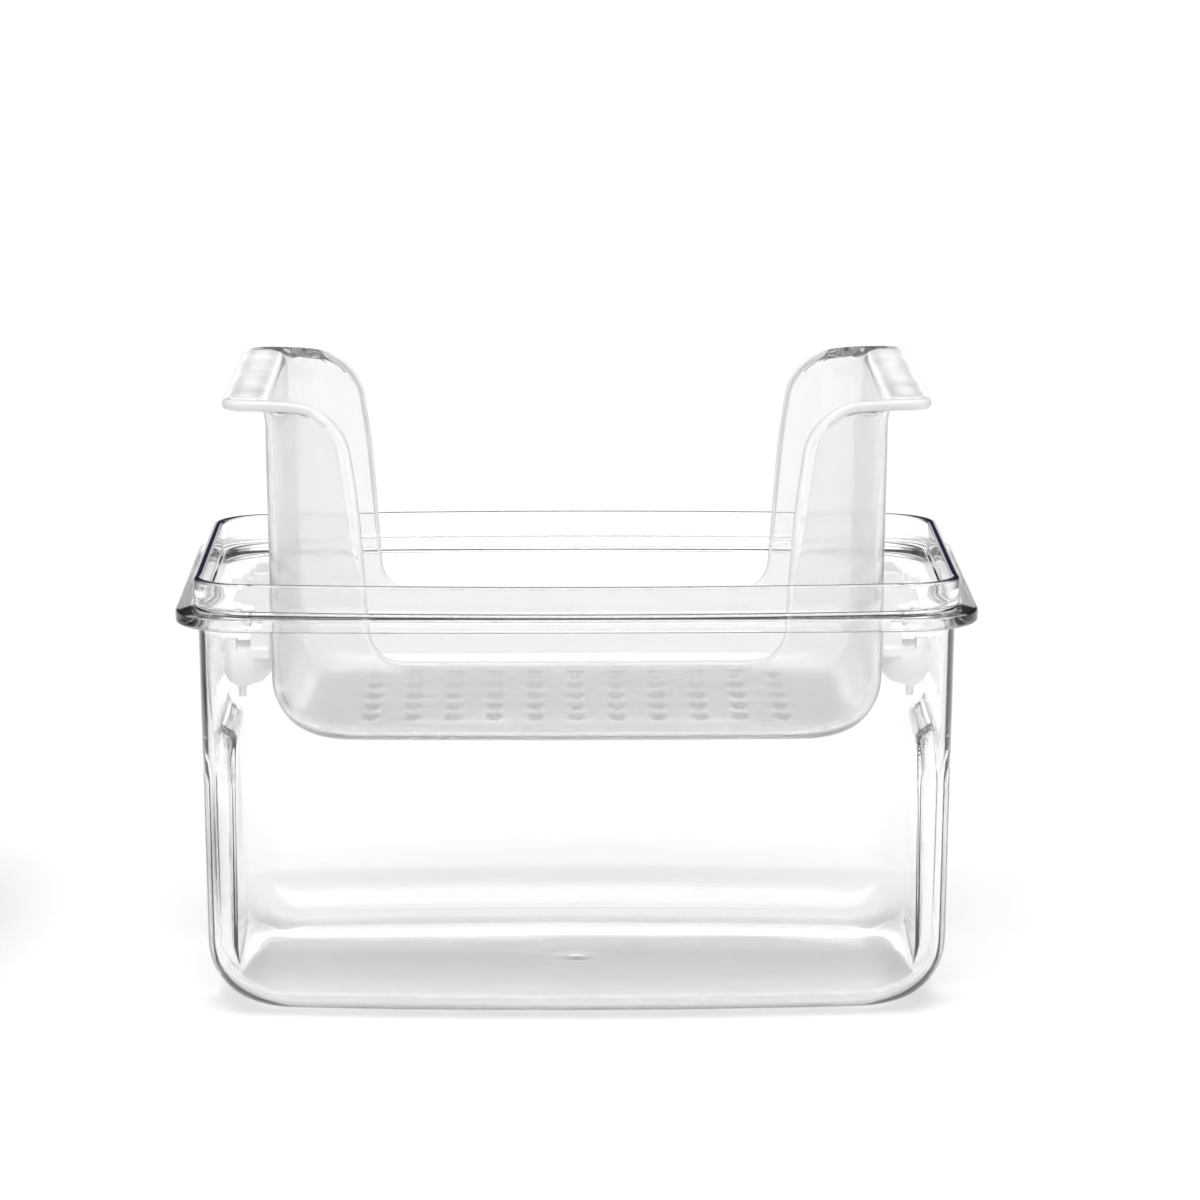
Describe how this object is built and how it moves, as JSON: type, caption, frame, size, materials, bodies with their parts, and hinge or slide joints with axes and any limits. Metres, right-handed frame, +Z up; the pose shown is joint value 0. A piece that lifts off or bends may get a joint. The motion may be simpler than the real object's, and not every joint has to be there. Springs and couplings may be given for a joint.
{
  "type": "tofu press",
  "caption": "Clear water container with a frosted lift-out tofu tray on white catches, and a spring-loaded press cover with end clips set down beside it.",
  "frame": {"origin": "centre of the container's flat base, on the surface it stands on", "axes": "+X along the container's length to the right of the picture, +Y away from the camera, +Z up"},
  "size_m": [0.3822, 0.2134, 0.1514],
  "materials": {
    "clear_plastic": "clear, polished, moulded",
    "frosted_plastic": "translucent, slightly milky, moulded",
    "white_plastic": "white, semi-gloss, moulded",
    "cover_plastic": "white, fine satin, moulded",
    "seal_rubber": "pale grey, soft",
    "pad_rubber": "grey, soft matte",
    "steel": "stainless, satin",
    "bush_plastic": "dark grey, dry-running"
  },
  "bodies": {
    "container": {"container": "clear_plastic", "catch_left": "white_plastic", "catch_right": "white_plastic"},
    "tray": {"tray": "frosted_plastic"},
    "press_base": {"press_plate": "frosted_plastic", "guide_post_left": "steel", "guide_post_right": "steel", "stop_screw_left": "steel", "stop_screw_right": "steel", "plate_screws": "steel", "press_spring_left": "steel", "press_spring_right": "steel"},
    "press_cover": {"press_cover": "cover_plastic", "cover_seal": "seal_rubber", "grip_pad": "pad_rubber", "guide_bush_left": "bush_plastic", "guide_bush_right": "bush_plastic", "latch_pin_left": "steel", "latch_pin_right": "steel"},
    "latch_left": {"latch_left": "white_plastic"},
    "latch_right": {"latch_right": "white_plastic"}
  },
  "joints": [
    {"name": "tray_lift", "type": "slide", "parent": "container", "child": "tray", "axis": [0, 0, 1], "range_m": [-0.0457, 0.045]},
    {"name": "press_lift", "type": "slide", "parent": "container", "child": "press_base", "axis": [0, 0, 1], "range_m": [0, 0.12]},
    {"name": "cover_press", "type": "slide", "parent": "press_base", "child": "press_cover", "axis": [0, 0, 1], "range_m": [-0.025, 0], "stiffness_N_per_m": 900, "springref_m": 0.01, "deforming": ["press_spring_left", "press_spring_right"]},
    {"name": "latch_left_swing", "type": "hinge", "parent": "press_cover", "child": "latch_left", "pos_m": [-0.226, -0.0997, 0.0584], "axis": [-1, 0, 0], "range_deg": [0, 100]},
    {"name": "latch_right_swing", "type": "hinge", "parent": "press_cover", "child": "latch_right", "pos_m": [-0.226, 0.0997, 0.0584], "axis": [1, 0, 0], "range_deg": [0, 100]}
  ]
}
